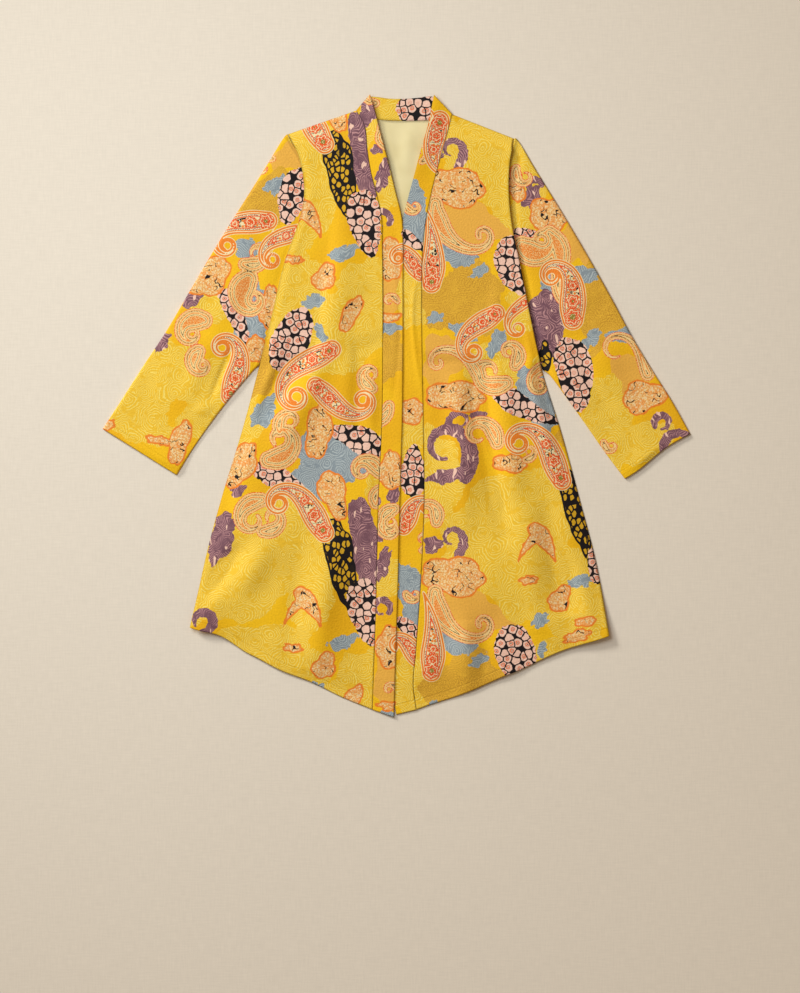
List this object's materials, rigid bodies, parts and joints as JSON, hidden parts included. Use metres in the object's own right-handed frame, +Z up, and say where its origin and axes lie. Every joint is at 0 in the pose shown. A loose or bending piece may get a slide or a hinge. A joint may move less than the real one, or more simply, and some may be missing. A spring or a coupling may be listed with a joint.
{
  "type": "kebaya blouse",
  "caption": "Long open-front blouse laid flat with long sleeves, a pointed hem and narrow bands along the fronts and neck, lapped at the centre.",
  "frame": {"origin": "centre of the bounding box in plan, on the surface that the blouse lies on", "axes": "+X towards the wearer's left, +Y towards the neck, +Z up through the cloth layers"},
  "size_m": [0.968, 1.026, 0.0078],
  "materials": {
    "printed_cloth": "smooth printed cloth, golden ground with a paisley and patchwork print",
    "band_cloth": "the same printed cloth, doubled and pressed",
    "back_cloth": "printed cloth with a plain pale inner side"
  },
  "bodies": {
    "root": {"back_panel": "back_cloth", "front_right": "printed_cloth", "front_left": "printed_cloth", "sleeve_right": "printed_cloth", "sleeve_left": "printed_cloth", "band_right": "band_cloth", "band_left": "band_cloth", "neck_band": "band_cloth"}
  },
  "joints": []
}
